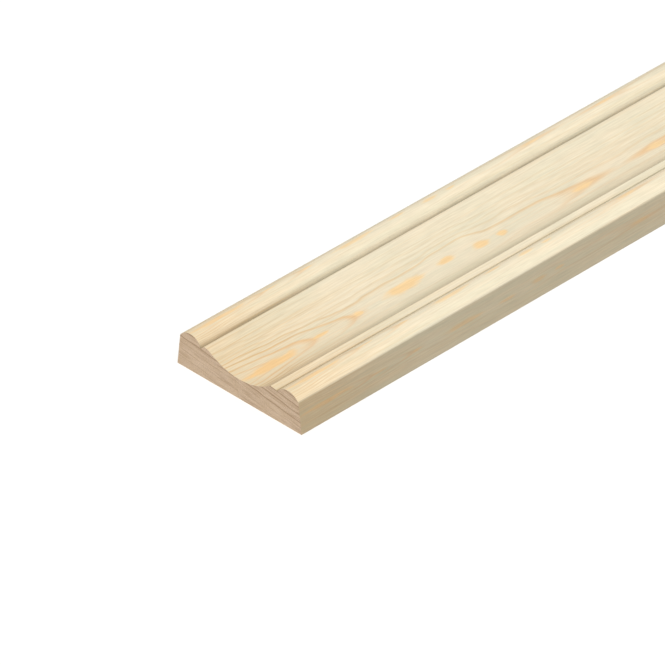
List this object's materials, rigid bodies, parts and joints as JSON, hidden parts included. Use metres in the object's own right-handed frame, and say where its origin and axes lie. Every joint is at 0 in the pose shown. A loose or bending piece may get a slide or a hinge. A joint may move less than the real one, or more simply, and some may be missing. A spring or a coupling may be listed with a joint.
{
  "type": "cover moulding",
  "caption": "Flat-backed timber cover moulding with rounded edge beads, a grooved ogee shoulder, a wide scoop and a narrow fillet, sawn square at both ends.",
  "frame": {"origin": "middle of the flat back face, halfway along the length and halfway across the width", "axes": "+X along the length, +Y across the face towards the grooved bead, +Z out of the moulded face"},
  "size_m": [2.4, 0.06, 0.015],
  "materials": {
    "planed_pine": "planed and moulded smooth, unfinished, sawn ends"
  },
  "bodies": {
    "root": {"moulding": "planed_pine"}
  },
  "joints": []
}
